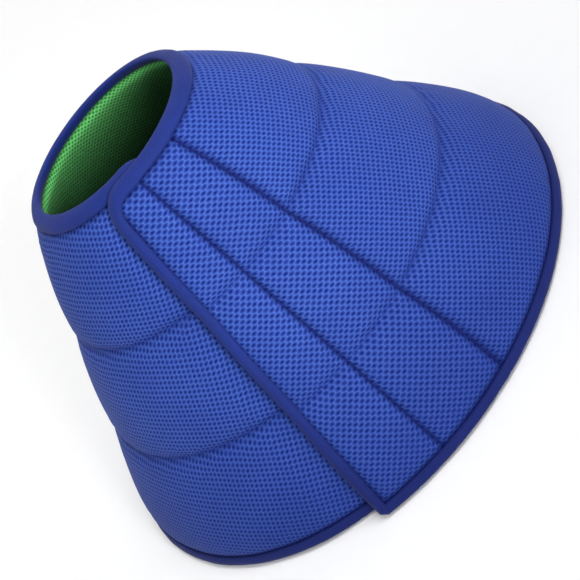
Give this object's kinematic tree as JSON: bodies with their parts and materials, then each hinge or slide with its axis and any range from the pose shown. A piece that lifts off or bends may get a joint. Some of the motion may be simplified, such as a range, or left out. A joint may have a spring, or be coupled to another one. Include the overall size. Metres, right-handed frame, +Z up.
{
  "type": "elizabethan collar",
  "caption": "Soft padded pet recovery collar: a quilted mesh cone with green lining, bound edges and a front flap that closes with hook and loop.",
  "frame": {"origin": "middle of the rim's footprint, on the surface that the collar stands on", "axes": "+Z up through the neck opening, -Y to the front where the flap laps, +X to the side that the flap comes from"},
  "size_m": [0.3578, 0.3627, 0.2],
  "materials": {
    "outer_mesh": "royal blue spacer mesh with small holes",
    "lining_mesh": "green spacer mesh with small holes",
    "foam_board": "white closed-cell foam board",
    "thread": "navy sewing thread",
    "binding_tape": "navy woven binding tape",
    "hook_tape": "navy hook tape",
    "loop_tape": "navy loop tape"
  },
  "bodies": {
    "back": {"back_foam_middle": "foam_board", "back_foam_neck": "foam_board", "back_foam_rim": "foam_board", "back_lining": "lining_mesh", "back_neck_binding": "binding_tape", "back_outer_mesh": "outer_mesh", "back_rim_binding": "binding_tape", "back_ring_stitch_high": "thread", "back_ring_stitch_low": "thread"},
    "right_side": {"flap_root_stitch": "thread", "right_side_foam_middle": "foam_board", "right_side_foam_neck": "foam_board", "right_side_foam_rim": "foam_board", "right_side_lining": "lining_mesh", "right_side_neck_binding": "binding_tape", "right_side_outer_mesh": "outer_mesh", "right_side_rim_binding": "binding_tape", "right_side_ring_stitch_high": "thread", "right_side_ring_stitch_low": "thread"},
    "flap_base": {"flap_base_foam_middle": "foam_board", "flap_base_foam_neck": "foam_board", "flap_base_foam_rim": "foam_board", "flap_base_hook_middle": "hook_tape", "flap_base_hook_neck": "hook_tape", "flap_base_hook_rim": "hook_tape", "flap_base_lining": "lining_mesh", "flap_base_neck_binding": "binding_tape", "flap_base_outer_mesh": "outer_mesh", "flap_base_rim_binding": "binding_tape", "flap_base_ring_stitch_high": "thread", "flap_base_ring_stitch_low": "thread", "flap_fold_stitch": "thread"},
    "flap_tip": {"flap_edge_binding": "binding_tape", "flap_tip_foam_middle": "foam_board", "flap_tip_foam_neck": "foam_board", "flap_tip_foam_rim": "foam_board", "flap_tip_hook_middle": "hook_tape", "flap_tip_hook_neck": "hook_tape", "flap_tip_hook_rim": "hook_tape", "flap_tip_lining": "lining_mesh", "flap_tip_neck_binding": "binding_tape", "flap_tip_outer_mesh": "outer_mesh", "flap_tip_rim_binding": "binding_tape", "flap_tip_ring_stitch_high": "thread", "flap_tip_ring_stitch_low": "thread"},
    "left_side": {"left_side_foam_middle": "foam_board", "left_side_foam_neck": "foam_board", "left_side_foam_rim": "foam_board", "left_side_lining": "lining_mesh", "left_side_neck_binding": "binding_tape", "left_side_outer_mesh": "outer_mesh", "left_side_rim_binding": "binding_tape", "left_side_ring_stitch_high": "thread", "left_side_ring_stitch_low": "thread", "under_lap_edge_binding": "binding_tape", "under_lap_loop_middle": "loop_tape", "under_lap_loop_neck": "loop_tape", "under_lap_loop_rim": "loop_tape"}
  },
  "joints": [
    {"name": "right_side_spread", "type": "hinge", "parent": "back", "child": "right_side", "pos_m": [0.1795, 0.00245, 0], "axis": [-0.5001, 0, 0.866], "range_deg": [0, 80]},
    {"name": "left_side_spread", "type": "hinge", "parent": "back", "child": "left_side", "pos_m": [-0.1795, 0.00245, 0], "axis": [-0.5001, 0, -0.866], "range_deg": [0, 40]},
    {"name": "flap_peel", "type": "hinge", "parent": "right_side", "child": "flap_base", "pos_m": [0.03501, -0.17758, 0], "axis": [-0.1082, 0.4882, 0.866], "range_deg": [0, 110]},
    {"name": "flap_tip_peel", "type": "hinge", "parent": "flap_base", "child": "flap_tip", "pos_m": [-0.02097, -0.18125, 0], "axis": [0.0436, 0.4982, 0.866], "range_deg": [0, 60]}
  ],
  "couplings": [
    {"joint": "left_side_spread", "follows": "right_side_spread", "ratio": 0.5}
  ]
}
